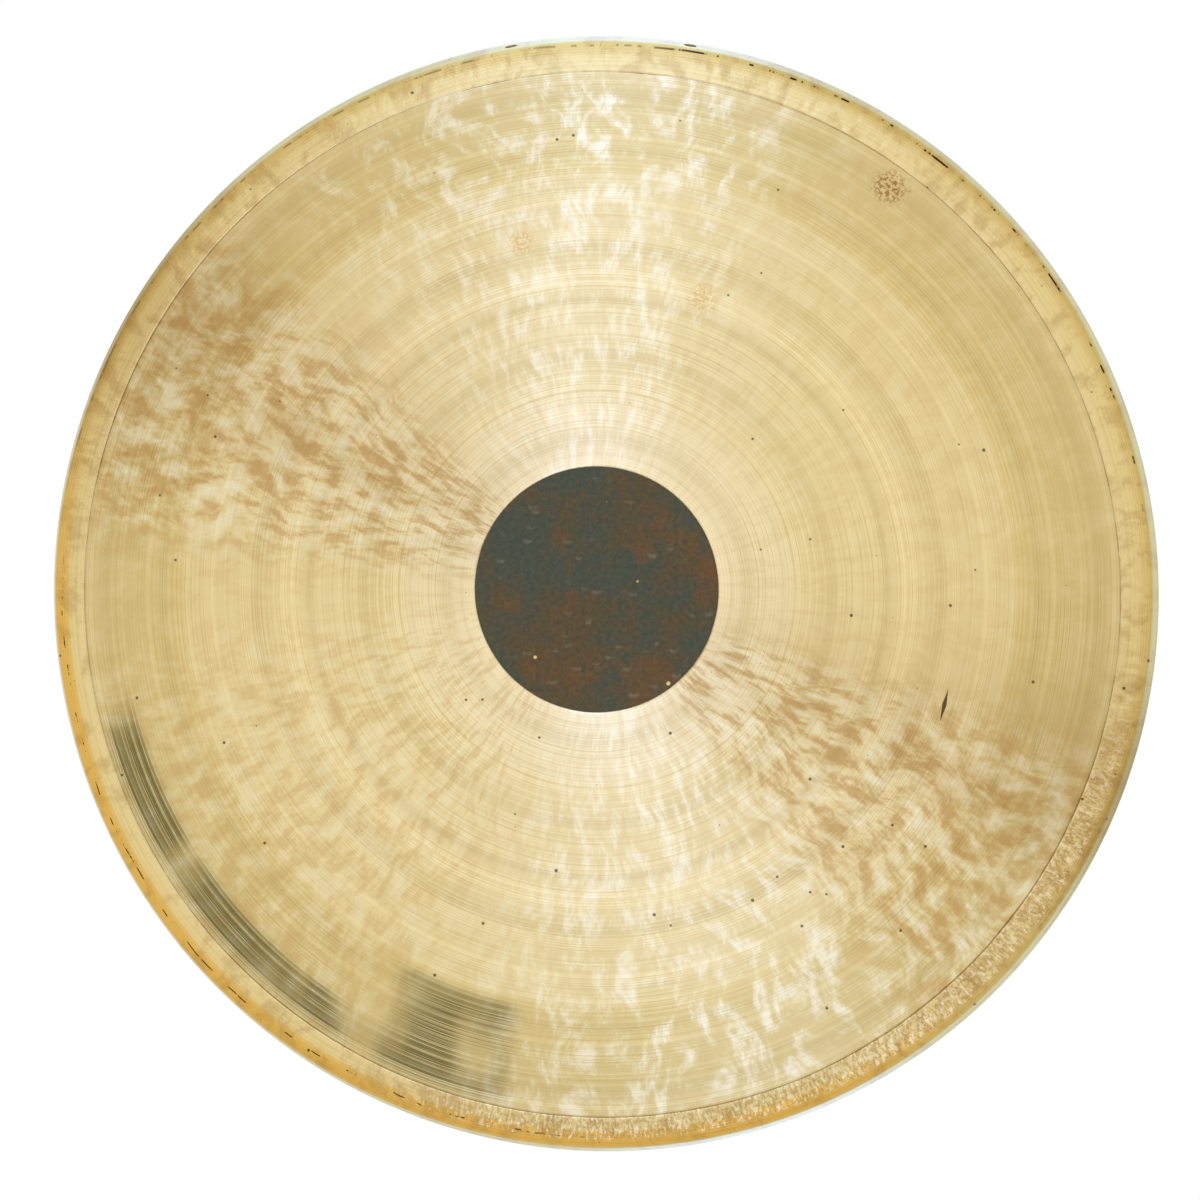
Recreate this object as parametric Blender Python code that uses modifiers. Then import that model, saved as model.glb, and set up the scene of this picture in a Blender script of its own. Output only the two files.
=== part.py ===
"""A 36 inch hand-hammered wind gong, hung upright, with its face towards -Y and +Z up.

The gong is one disc of beaten bronze: a nearly flat lathed face with an unlathed
centre, a band that leans back near the edge, a rounded corner and a short lip turned
back from it. Two holes through the lip take the hanging cord. The origin is the centre
of the disc, halfway through its depth. Metres, run with: blender --background --python
"""

from math import cos, pi, radians, sin, tan

import bpy
from mathutils import Matrix, Vector

# Outline, as radii from the gong's axis
LIP_RADIUS = 0.4572  # outermost edge, half of 36 inches
CORNER_RADIUS_FROM_AXIS = 0.4445  # where the rounded corner begins
RIM_STEP_RADIUS = 0.4257  # where the hammered rim begins
BAND_RADIUS = 0.3400  # where the face starts to lean back
CENTRE_RADIUS = 0.0993  # the unlathed centre

# Slopes of the front, from the plane of the disc
FACE_EDGE_SLOPE = radians(3.0)  # the face's crown reaches this at BAND_RADIUS
BAND_SLOPE = radians(8.0)
RIM_SLOPE = radians(15.0)
LIP_SLOPE = radians(76.0)  # the lip goes back and flares 14 degrees outwards

# Metal
CENTRE_THICKNESS = 0.0028
FACE_THICKNESS = 0.0022
LIP_THICKNESS = 0.0025
LATHE_CUT = 0.0003  # how far the lathed face lies below the unlathed centre
CORNER_BEND = 0.0110  # outer radius of the rounded corner
EDGE_CHAMFER = 0.0004  # broken edges of the lip's rear face

# Hanging holes, drilled straight in through the lip
HOLE_DIAMETER = 0.0100
HOLE_ANGLE = radians(9.3)  # each side of the top, about 146 mm apart
HOLE_FROM_REAR_EDGE = 0.0125

# Facets
TURN_STEPS = 112
FACE_POINTS = 7
CORNER_POINTS = 6
HOLE_SIDES = 24


def front_profile():
    """Points (radius, height) of the front, from the axis out to the lip's rear edge.

    Height is measured forwards from the front of the centre, so it falls below zero.
    """
    crown = tan(FACE_EDGE_SLOPE) / (2 * BAND_RADIUS)
    points = [(0.0, 0.0), (CENTRE_RADIUS * 0.5, -crown * (CENTRE_RADIUS * 0.5) ** 2)]
    points.append((CENTRE_RADIUS, -crown * CENTRE_RADIUS**2))

    lathed_from = CENTRE_RADIUS + LATHE_CUT
    for step in range(FACE_POINTS + 1):
        radius = lathed_from + (BAND_RADIUS - lathed_from) * step / FACE_POINTS
        points.append((radius, -crown * radius**2 - LATHE_CUT))

    for radius, slope in ((RIM_STEP_RADIUS, BAND_SLOPE), (CORNER_RADIUS_FROM_AXIS, RIM_SLOPE)):
        last_radius, last_height = points[-1]
        points.append((radius, last_height - (radius - last_radius) * tan(slope)))

    start_radius, start_height = points[-1]
    for step in range(1, CORNER_POINTS + 1):
        slope = RIM_SLOPE + (LIP_SLOPE - RIM_SLOPE) * step / CORNER_POINTS
        across = CORNER_BEND * (sin(slope) - sin(RIM_SLOPE))
        down = CORNER_BEND * (cos(RIM_SLOPE) - cos(slope))
        points.append((start_radius + across, start_height - down))

    corner_radius, corner_height = points[-1]
    lip_depth = (LIP_RADIUS - corner_radius) * tan(LIP_SLOPE)
    points.append((LIP_RADIUS, corner_height - lip_depth))
    return points


def thickness_at(radius):
    """Metal thickness under a front point: thick centre, thinner face, thicker lip."""
    if radius <= CENTRE_RADIUS:
        return CENTRE_THICKNESS
    if radius <= RIM_STEP_RADIUS:
        return FACE_THICKNESS
    return LIP_THICKNESS


def rear_profile(front):
    """The inside of the shell, each front point moved in by the metal's thickness."""
    rear = []
    for index, (radius, height) in enumerate(front[:-1]):
        before = Vector(front[max(index - 1, 0)])
        after = Vector(front[index + 1])
        along = (after - before).normalized()
        inwards = Vector((along.y, -along.x)) if radius > 0 else Vector((0.0, -1.0))
        moved = Vector((radius, height)) + inwards * thickness_at(radius)
        rear.append((moved.x, moved.y))
    return rear


def lip_edge(front, rear):
    """The lip's flat rear face with its two broken edges, from outside to inside."""
    lip_radius, edge_height = front[-1]
    inner_radius, inner_height = rear[-1]
    lean = 1 / tan(LIP_SLOPE)
    inner_edge = inner_radius + (inner_height - edge_height) * lean
    return [
        (lip_radius - EDGE_CHAMFER * lean, edge_height + EDGE_CHAMFER),
        (lip_radius - EDGE_CHAMFER, edge_height),
        (inner_edge + EDGE_CHAMFER, edge_height),
        (inner_edge - EDGE_CHAMFER * lean, edge_height + EDGE_CHAMFER),
    ]


def shell_profile():
    """The whole closed outline, out over the front, round the edge and back inside."""
    front = front_profile()
    rear = rear_profile(front)
    return front[:-1] + lip_edge(front, rear) + rear[::-1]


def bronze_material():
    """Pale lathed bronze."""
    material = bpy.data.materials.new("lathed_bronze")
    material.use_nodes = True
    shader = material.node_tree.nodes["Principled BSDF"]
    shader.inputs["Base Color"].default_value = (0.80, 0.66, 0.32, 1.0)
    shader.inputs["Metallic"].default_value = 1.0
    shader.inputs["Roughness"].default_value = 0.35
    return material


def turned_disc(name, profile, collection):
    """The gong, turned about local Z and laid over so that its face looks along -Y."""
    mesh = bpy.data.meshes.new(name)
    edges = [(index, index + 1) for index in range(len(profile) - 1)]
    mesh.from_pydata([(radius, 0.0, height) for radius, height in profile], edges, [])
    disc = bpy.data.objects.new(name, mesh)
    collection.objects.link(disc)

    screw = disc.modifiers.new("turned", "SCREW")
    screw.axis = "Z"
    screw.steps = TURN_STEPS
    screw.render_steps = TURN_STEPS
    screw.use_merge_vertices = True
    screw.merge_threshold = 0.0000005
    screw.use_smooth_shade = True

    disc.rotation_euler = (pi / 2, 0.0, 0.0)
    depth = -min(height for radius, height in profile)
    disc.location = (0.0, -depth / 2, 0.0)
    disc.data.materials.append(bronze_material())
    return disc


def hole_cutter(name, angle, rear_edge_y, collection):
    """A straight drill for one hanging hole, its axis pointing out from the gong's."""
    bpy.ops.mesh.primitive_cylinder_add(
        vertices=HOLE_SIDES, radius=HOLE_DIAMETER / 2, depth=0.03, end_fill_type="NGON"
    )
    drill = bpy.context.active_object
    drill.name = name
    hole_radius = LIP_RADIUS - HOLE_FROM_REAR_EDGE / tan(LIP_SLOPE)
    outwards = Matrix.Rotation(angle, 4, "Y")
    place = Vector((0.0, rear_edge_y - HOLE_FROM_REAR_EDGE, hole_radius))
    drill.matrix_world = outwards @ Matrix.Translation(place)
    for owner in list(drill.users_collection):
        owner.objects.unlink(drill)
    collection.objects.link(drill)
    drill.display_type = "WIRE"
    drill.hide_render = True
    return drill


def main():
    for old in list(bpy.data.objects):
        bpy.data.objects.remove(old, do_unlink=True)

    gong_parts = bpy.data.collections.new("wind_gong")
    cutters = bpy.data.collections.new("cutters")
    bpy.context.scene.collection.children.link(gong_parts)
    bpy.context.scene.collection.children.link(cutters)

    profile = shell_profile()
    disc = turned_disc("gong_disc", profile, gong_parts)

    rear_edge_y = -min(height for radius, height in profile) / 2
    for side, angle in (("left", -HOLE_ANGLE), ("right", HOLE_ANGLE)):
        drill = hole_cutter(f"hanging_hole_{side}", angle, rear_edge_y, cutters)
        cut = disc.modifiers.new(f"hole_{side}", "BOOLEAN")
        cut.operation = "DIFFERENCE"
        cut.solver = "EXACT"
        cut.object = drill


main()
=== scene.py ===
"""The looks of a 36 inch hand-hammered wind gong, hung upright and seen almost face on.

The gong is one sheet of bronze. It is made here as five meshes that meet in its natural
creases: the unlathed centre and the lathed face, each as a front and a rear half of the
metal, and the hammered rim with its corner, its turned-back lip and two hanging holes.
The face looks along -Y, +Z is up, and every length is in metres. Angles round the disc
run clockwise from the top.
"""

import logging
from dataclasses import dataclass
from enum import Enum
from functools import reduce
from math import cos, pi, radians, sin, tan
from typing import NamedTuple

import bpy
import numpy as np
from mathutils import Matrix, Vector


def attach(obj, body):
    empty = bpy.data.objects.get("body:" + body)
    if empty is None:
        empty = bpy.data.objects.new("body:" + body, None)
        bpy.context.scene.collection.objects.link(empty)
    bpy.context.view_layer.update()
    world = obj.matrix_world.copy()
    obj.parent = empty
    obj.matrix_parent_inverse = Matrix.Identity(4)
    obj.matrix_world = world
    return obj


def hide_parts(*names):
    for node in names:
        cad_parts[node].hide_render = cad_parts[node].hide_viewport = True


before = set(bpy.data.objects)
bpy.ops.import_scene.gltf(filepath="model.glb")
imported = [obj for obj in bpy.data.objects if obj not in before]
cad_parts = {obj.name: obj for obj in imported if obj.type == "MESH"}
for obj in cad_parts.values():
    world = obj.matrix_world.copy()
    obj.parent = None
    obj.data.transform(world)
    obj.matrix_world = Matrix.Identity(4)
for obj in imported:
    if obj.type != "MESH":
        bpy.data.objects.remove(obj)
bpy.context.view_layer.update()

LOG = logging.getLogger("wind_gong")
FRONT_Y = -0.0269015  # the front of the centre
BAKE_MAP = "OFBake"
WHOLE_TURN = 2 * pi

Colour = tuple[float, float, float, float]
Socket = bpy.types.NodeSocket
Feed = Socket | float | tuple
Place = tuple[float, float]
Range = tuple[float, float]
WHITE: Colour = (1.0, 1.0, 1.0, 1.0)


class Side(Enum):
    """Which half of the metal's thickness a piece holds."""

    FRONT = "front"
    REAR = "rear"


class Mix(Enum):
    """How a second colour is laid over a first."""

    OVER = "MIX"
    MULTIPLY = "MULTIPLY"


class Sector(NamedTuple):
    """A sector of the disc in degrees: its middle, its half width and its soft edge."""

    middle: float
    half: float
    soft: float


class Span(NamedTuple):
    """A stretch of a value with soft edges outside it."""

    start: float
    end: float
    soft: float


class Grain(NamedTuple):
    """The scale, detail and roughness of a noise."""

    scale: float
    detail: float = 2.0
    rough: float = 0.5


class Fan(NamedTuple):
    """A worked fan: its middle and spread in degrees, and its strength."""

    middle: float
    spread: float
    strength: float


class Blow(NamedTuple):
    """One hammer mark: where it lies, its length and width, and its rise."""

    run: float
    angle: float
    length: float
    width: float
    rise: float


class Stain(NamedTuple):
    """A round speckled stain."""

    middle: tuple[float, float, float]
    size: float
    force: float
    tint: Colour


def srgb(red: int, green: int, blue: int) -> Colour:
    """Turn a screen colour into the linear one that shaders use.

    Args:
        red: Red from 0 to 255.
        green: Green from 0 to 255.
        blue: Blue from 0 to 255.

    Returns:
        The linear colour with an alpha of 1.
    """
    parts = [value / 255 for value in (red, green, blue)]
    linear = [part / 12.92 if part <= 0.04045 else ((part + 0.055) / 1.055) ** 2.4 for part in parts]
    return (linear[0], linear[1], linear[2], 1.0)


def smooth(value: np.ndarray, start: float, end: float) -> np.ndarray:
    """Rise smoothly from 0 at start to 1 at end.

    Args:
        value: The values to weigh.
        start: Where the rise begins.
        end: Where it is over.

    Returns:
        Weights from 0 to 1.
    """
    share = np.clip((value - start) / (end - start), 0.0, 1.0)
    return share * share * (3 - 2 * share)


def pairs(values: np.ndarray) -> list[Place]:
    """Give each value with the one after it."""
    return [(float(first), float(second)) for first, second in zip(values[:-1], values[1:])]


@dataclass(frozen=True)
class Outline:
    """The turned section of the gong, from its axis to the lip's rear edge."""

    lip_radius: float = 0.4572
    corner_start: float = 0.4445
    rim_step: float = 0.4257
    band_start: float = 0.3400
    centre: float = 0.0993
    face_edge_slope: float = radians(3.0)
    band_slope: float = radians(8.0)
    rim_slope: float = radians(15.0)
    lip_slope: float = radians(76.0)
    corner_bend: float = 0.0110
    centre_thickness: float = 0.0028
    face_thickness: float = 0.0022
    lip_thickness: float = 0.0025
    lathe_cut: float = 0.0003
    march: float = 0.0001
    crease: float = 0.0016
    ovality: float = 0.0037
    oval_turn: float = radians(9.7)
    shift_x: float = -0.0002
    shift_z: float = 0.0058
    shift_fade: Range = (0.33, 0.43)

    def slope_at(self, radius: float, turned: float) -> float:
        """Give the front's slope from the plane of the disc.

        Args:
            radius: Distance from the axis.
            turned: Length gone along the rounded corner.

        Returns:
            The slope as an angle.
        """
        if radius < self.band_start:
            return radius / self.band_start * self.face_edge_slope
        if radius < self.rim_step:
            return self.band_slope
        if radius < self.corner_start:
            return self.rim_slope
        return min(self.rim_slope + turned / self.corner_bend, self.lip_slope)

    def section(self) -> tuple[np.ndarray, np.ndarray, np.ndarray, np.ndarray]:
        """March along the front and round off its creases.

        Returns:
            Run along the front, radius, place along Y and slope, at even steps of run.
        """
        slopes = []
        radius = 0.0
        turned = 0.0
        while radius < self.lip_radius:
            slope = self.slope_at(radius, turned)
            slopes.append(slope)
            radius += self.march * cos(slope)
            turned += self.march if radius >= self.corner_start else 0.0
        wide = int(self.crease / self.march)
        padded = np.pad(np.array(slopes), wide, mode="edge")
        kernel = np.ones(2 * wide + 1) / (2 * wide + 1)
        slope = np.convolve(padded, kernel, mode="valid")
        run = np.arange(len(slope)) * self.march
        radii = np.concatenate([[0.0], np.cumsum(np.cos(slope))[:-1]]) * self.march
        back = np.concatenate([[0.0], np.cumsum(np.sin(slope))[:-1]]) * self.march
        return run, radii, FRONT_Y + back, slope

    def run_of(self, radius: float) -> float:
        """Find the run along the front where it passes a radius."""
        run, radii, _, _ = self.section()
        return float(np.interp(radius, radii, run))


@dataclass
class HammerWork:
    """Blows and bends that a hand left in the sheet, as lengths along its normal."""

    outline: Outline
    seed: int = 36
    face_blows: int = 1500
    fan_blows: int = 1100
    peen_marks: int = 2600
    pips: int = 70
    dimples: int = 46
    fans: tuple[Fan, ...] = (
        Fan(127, 14, 1.0), Fan(296, 13, 1.0), Fan(235, 22, 0.45), Fan(60, 25, 0.4), Fan(160, 14, 0.5),
    )
    fan_gather: float = 0.55  # share of a fan's spread that most of its blows keep to
    peen_middle: float = 152.0
    peen_spread: float = 34.0
    stray_peening: float = 0.25
    peen_run: float = 0.4385
    peen_band: float = 0.0065
    dimple_reach: float = 0.094
    relief_end: Place = (0.462, 0.478)
    bend_orders: range = range(2, 19)
    bend_size: float = 0.0011
    bend_fall: float = 1.25

    def __post_init__(self) -> None:
        """Draw every blow once, so that all the pieces share them."""
        self.rng = np.random.default_rng(self.seed)
        self.blows: list[Blow] = []
        # dimples whose lower edges are painted pale, partly as worn scale and partly as highlight
        self.worn_and_highlit: list[Blow] = []
        self.lay_face_blows()
        self.lay_fans()
        self.lay_peening()
        self.lay_centre()

    def lay_face_blows(self) -> None:
        """Lay the broad planishing blows that go all round the face."""
        for _ in range(self.face_blows):
            run = 0.10 + 0.33 * self.rng.random() ** 0.7
            length = self.rng.uniform(0.009, 0.022)
            width = self.rng.uniform(0.006, 0.010)
            rise = self.rng.normal(0.0, 0.000045)
            self.blows.append(Blow(run, self.rng.uniform(0, WHOLE_TURN), length, width, rise))

    def lay_fans(self) -> None:
        """Lay the close radial strokes of the two strongly worked fans and their echoes."""
        weights = np.array([fan.strength for fan in self.fans])
        for pick in self.rng.choice(len(self.fans), self.fan_blows, p=weights / weights.sum()):
            fan = self.fans[pick]
            angle = radians(self.rng.normal(fan.middle, fan.spread * self.fan_gather))
            run = self.rng.uniform(0.115, 0.425)
            length = self.rng.uniform(0.010, 0.026)
            width = self.rng.uniform(0.0032, 0.0065)
            rise = self.rng.normal(0.0, 0.00007) * (0.5 + fan.strength / 2)
            self.blows.append(Blow(run, angle, length, width, rise))

    def lay_peening(self) -> None:
        """Lay the small sharp marks on the rim, closest at its lower right."""
        for _ in range(self.peen_marks):
            angle = radians(self.rng.normal(self.peen_middle, self.peen_spread))
            if self.rng.random() < self.stray_peening:
                angle = self.rng.uniform(0, WHOLE_TURN)
            run = self.rng.normal(self.peen_run, self.peen_band)
            length = self.rng.uniform(0.0018, 0.0042)
            width = self.rng.uniform(0.0011, 0.0020)
            rise = -abs(self.rng.normal(0.00013, 0.00005))
            self.blows.append(Blow(run, angle, length, width, rise))

    def lay_centre(self) -> None:
        """Lay the dimples of the unlathed centre and the round pips close round it."""
        for _ in range(self.dimples):
            run = self.dimple_reach * self.rng.random() ** 0.5
            angle = self.rng.uniform(0, WHOLE_TURN)
            size = self.rng.uniform(0.0020, 0.0034)
            dimple = Blow(run, angle, size, size, -self.rng.uniform(0.00016, 0.00036))
            self.blows.append(dimple)
            self.worn_and_highlit.append(dimple)
        for _ in range(self.pips):
            run = self.rng.uniform(0.105, 0.21)
            size = self.rng.uniform(0.0022, 0.0032)
            self.blows.append(Blow(run, self.rng.uniform(0, WHOLE_TURN), size, size, -0.00005))

    def relief(self, runs: np.ndarray, radii: np.ndarray, columns: int) -> np.ndarray:
        """Add up all the blows and the slow bends of the sheet.

        Args:
            runs: Run along the front of each row.
            radii: Radius of each row.
            columns: Number of columns round the disc.

        Returns:
            Height along the outward normal, one row of columns for each run.
        """
        step = WHOLE_TURN / columns
        angles = np.arange(columns) * step
        height = np.zeros((len(runs), columns))
        for blow in self.blows:
            rows = np.nonzero(np.abs(runs - blow.run) < 3 * blow.length)[0]
            if not rows.size:
                continue
            radius = max(float(np.interp(blow.run, runs, radii)), 0.004)
            reach = min(int(3 * blow.width / (radius * step)) + 1, columns // 2 - 1)
            offsets = np.arange(-reach, reach + 1)
            first = int(round(blow.angle / step))
            across = (offsets + first) * step - blow.angle
            bell = np.exp(-0.5 * (across * radius / blow.width) ** 2)
            along = np.exp(-0.5 * ((runs[rows] - blow.run) / blow.length) ** 2)
            height[np.ix_(rows, (offsets + first) % columns)] += blow.rise * np.outer(along, bell)
        height += self.bends(radii, angles)
        return height * (1 - smooth(runs, *self.relief_end))[:, None]

    def bends(self, radii: np.ndarray, angles: np.ndarray) -> np.ndarray:
        """Give the slow bends that run through the whole sheet.

        Args:
            radii: Radius of each row.
            angles: Angle of each column.

        Returns:
            Height of the bends on the grid.
        """
        rng = np.random.default_rng(self.seed + 1)
        bend = np.zeros((len(radii), len(angles)))
        for order in self.bend_orders:
            size = self.bend_size / order**self.bend_fall
            lean = rng.uniform(0, WHOLE_TURN)
            ripple = rng.uniform(8, 20)
            phase = rng.uniform(0, WHOLE_TURN)
            swell = np.sin(radii * ripple + phase) * smooth(radii, 0.03, 0.30)
            bend += size * swell[:, None] * np.cos(order * angles + lean)[None, :]
        return bend

    def wear_and_highlight(self, runs: np.ndarray, columns: int) -> np.ndarray:
        """Mark the lower edges of the dimples, where the scale is rubbed pale and a highlight is painted.

        Args:
            runs: Run along the front of each row.
            columns: Number of columns round the disc.

        Returns:
            Wear and painted highlight from 0 to 1 on the grid.
        """
        angles = np.arange(columns) * WHOLE_TURN / columns
        across = runs[:, None] * np.sin(angles)[None, :]
        up = runs[:, None] * np.cos(angles)[None, :]
        wear_and_highlight = np.zeros_like(across)
        rng = np.random.default_rng(self.seed + 2)
        for dimple in self.worn_and_highlit:
            right = across - dimple.run * sin(dimple.angle)
            above = up - dimple.run * cos(dimple.angle)
            ring = np.hypot(right, above) / dimple.width
            crescent = np.exp(-(((ring - 1.1) / 0.38) ** 2)) * smooth(-above / dimple.width, 0.25, 1.0)
            wear_and_highlight = np.maximum(wear_and_highlight, crescent * rng.uniform(0.15, 1.0))
        return wear_and_highlight


@dataclass
class TurnedPiece:
    """A closed solid between two stretches of the sheet, as rings of points."""

    name: str
    outline: Outline
    work: HammerWork
    columns: int
    slot: str

    def rings(self, run: np.ndarray, inwards: np.ndarray) -> np.ndarray:
        """Place rings of points on the hammered sheet.

        Args:
            run: Run along the front of each ring.
            inwards: Depth of each ring into the metal.

        Returns:
            Points as an array of ring, column and axis.
        """
        runs, radii, backs, slopes = self.outline.section()
        radius = np.interp(run, runs, radii)
        back = np.interp(run, runs, backs)
        slope = np.interp(run, runs, slopes)
        angles = np.arange(self.columns) * WHOLE_TURN / self.columns
        lift = self.work.relief(run, radius, self.columns) - inwards[:, None]
        away = radius[:, None] + lift * np.sin(slope)[:, None]
        behind = back[:, None] - lift * np.cos(slope)[:, None]
        oval = 1 + self.outline.ovality * np.cos(2 * (angles + self.outline.oval_turn))
        away = away * oval[None, :]
        hold = 1 - smooth(radius, *self.outline.shift_fade)[:, None]
        across = away * np.sin(angles)[None, :] + self.outline.shift_x * hold
        up = away * np.cos(angles)[None, :] + self.outline.shift_z * hold
        return np.stack([across, behind, up], axis=2)

    def mesh_of(self, rings: np.ndarray, poles: bool) -> bpy.types.Object:
        """Join the rings into one closed mesh.

        Args:
            rings: Points as an array of ring, column and axis.
            poles: Whether the first and last ring close onto a point on the axis.

        Returns:
            The new object.
        """
        count, columns, _ = rings.shape
        verts = rings.reshape(-1, 3)
        here = np.arange(columns)
        after = (here + 1) % columns
        quads = []
        for band in range(count - 1 if poles else count):
            low = band * columns
            high = ((band + 1) % count) * columns
            quads.append(np.stack([low + here, low + after, high + after, high + here], axis=1))
        faces = np.concatenate(quads).tolist()
        if poles:
            verts = np.concatenate([verts, [rings[0].mean(axis=0), rings[-1].mean(axis=0)]])
            tip = count * columns
            last = tip - columns
            faces += [[tip, int(b), int(a)] for a, b in zip(here, after)]
            faces += [[tip + 1, int(last + a), int(last + b)] for a, b in zip(here, after)]
        mesh = bpy.data.meshes.new(self.name)
        mesh.from_pydata(verts.tolist(), [], faces)
        mesh.flip_normals()
        mesh.update()
        mesh.shade_smooth()
        piece = bpy.data.objects.new(self.name, mesh)
        bpy.context.scene.collection.objects.link(piece)
        return piece

    def lay_map(self, mesh: bpy.types.Mesh, count: int, places: list[Place]) -> None:
        """Lay a bake map with every band of faces in a ring of its own.

        Args:
            mesh: The mesh to map.
            count: Number of rings of points.
            places: For each band, the map radius of its first and second ring.
        """
        loops = np.empty(len(mesh.loops), dtype=np.int64)
        mesh.loops.foreach_get("vertex_index", loops)
        sides = np.empty(len(mesh.polygons), dtype=np.int64)
        mesh.polygons.foreach_get("loop_total", sides)
        face = np.repeat(np.arange(len(sides)), sides)
        band = face // self.columns
        place = np.array(places)
        tip = loops >= count * self.columns
        second = (loops // self.columns != band % count) | tip
        if tip.any():
            second = np.where(band >= len(places) - 2, tip, second)
        radius = np.where(second, place[band, 1], place[band, 0])
        column = np.where(tip, face % self.columns + 0.5, loops % self.columns)
        turn = column * WHOLE_TURN / self.columns
        values = np.stack([0.5 + radius * np.sin(turn), 0.5 + radius * np.cos(turn)], axis=1)
        mesh.uv_layers.new(name=BAKE_MAP).data.foreach_set("uv", values.ravel())

    def finish(self, piece: bpy.types.Object, finish: bpy.types.Material) -> bpy.types.Object:
        """Dress a piece and tell the frame what it is.

        Args:
            piece: The piece.
            finish: Its material.

        Returns:
            The same piece.
        """
        piece.data.materials.append(finish)
        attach(piece, "root")
        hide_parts("gong_disc")
        LOG.info("%s: %d faces", piece.name, len(piece.data.polygons))
        return piece


@dataclass
class HalfSheet(TurnedPiece):
    """A piece that holds the front or the rear half of the metal."""

    side: Side = Side.FRONT

    def depths(self, metal: float) -> Place:
        """Give the depth of the seen surface and of the middle of the metal."""
        return (0.0 if self.side is Side.FRONT else metal, metal / 2)

    def turn_out(self, piece: bpy.types.Object) -> None:
        """Turn a rear half's faces outwards, as its rings run the other way."""
        if self.side is Side.REAR:
            piece.data.flip_normals()


@dataclass
class CentreDisc(HalfSheet):
    """Half of the thick unlathed centre, with its dimples and fire scale."""

    rows: int = 110
    plain_rows: int = 6
    edge_round: float = 0.0004
    pole_gap: float = 0.0004
    hidden_pole_gap: float = 0.002

    def build(self, finish: bpy.types.Material) -> bpy.types.Object:
        """Make the half disc and store where its scale is worn and a highlight is painted.

        Args:
            finish: The material of the scale.

        Returns:
            The finished piece.
        """
        edge = self.outline.centre
        outer, inner = self.depths(self.outline.centre_thickness)
        shown = np.linspace(self.pole_gap, edge - self.edge_round, self.rows)
        shown = np.append(shown, [edge - self.edge_round * 0.3, edge])
        deep = np.full(len(shown), outer)
        turn = self.edge_round if self.side is Side.FRONT else -self.edge_round
        deep[-2:] = outer + turn * np.array([0.3, 1.0])
        plain = np.linspace(edge, self.hidden_pole_gap, self.plain_rows)
        run = np.concatenate([shown, plain])
        rings = self.rings(run, np.concatenate([deep, np.full(len(plain), inner)]))
        piece = self.mesh_of(rings, True)
        self.lay_map(piece.data, len(run), self.bake_places(len(shown), len(plain)))
        self.turn_out(piece)
        wear_and_highlight = np.zeros((len(run), self.columns))
        wear_and_highlight[: len(shown)] = self.work.wear_and_highlight(shown, self.columns)
        mark = piece.data.attributes.new("worn_and_highlit", "FLOAT", "POINT")
        mark.data.foreach_set("value", np.concatenate([wear_and_highlight.ravel(), [0.0, 0.0]]))
        return self.finish(piece, finish)

    def bake_places(self, shown: int, plain: int) -> list[Place]:
        """Put the seen face in the middle of the map and the hidden one round it."""
        seen = pairs(np.linspace(0.004, 0.42, shown))
        return seen + pairs(np.linspace(0.425, 0.485, plain + 1)) + [(0.004, 0.0), (0.487, 0.495)]


@dataclass
class LathedFace(HalfSheet):
    """Half of the thinner lathed face and its leaned-back band."""

    rows: int = 152
    plain_rows: int = 10

    def build(self, finish: bpy.types.Material) -> bpy.types.Object:
        """Make the half face between the centre and the rim.

        Args:
            finish: The material of the lathed metal.

        Returns:
            The finished piece.
        """
        start = self.outline.centre
        end = self.outline.run_of(self.outline.rim_step)
        outer, inner = self.depths(self.outline.face_thickness)
        run = np.append(np.linspace(start, end, self.rows), np.linspace(end, start, self.plain_rows))
        inwards = np.append(np.full(self.rows, outer), np.full(self.plain_rows, inner))
        cut = self.outline.lathe_cut * (1 - smooth(run, 0.30, 0.42))
        piece = self.mesh_of(self.rings(run, inwards + cut), False)
        self.lay_map(piece.data, len(run), self.bake_places())
        self.turn_out(piece)
        return self.finish(piece, finish)

    def bake_places(self) -> list[Place]:
        """Put the seen face on the whole map and the hidden one in its empty middle."""
        seen = pairs(np.linspace(0.12, 0.485, self.rows)) + [(0.486, 0.496)]
        return seen + pairs(np.linspace(0.108, 0.03, self.plain_rows)) + [(0.028, 0.015)]


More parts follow.
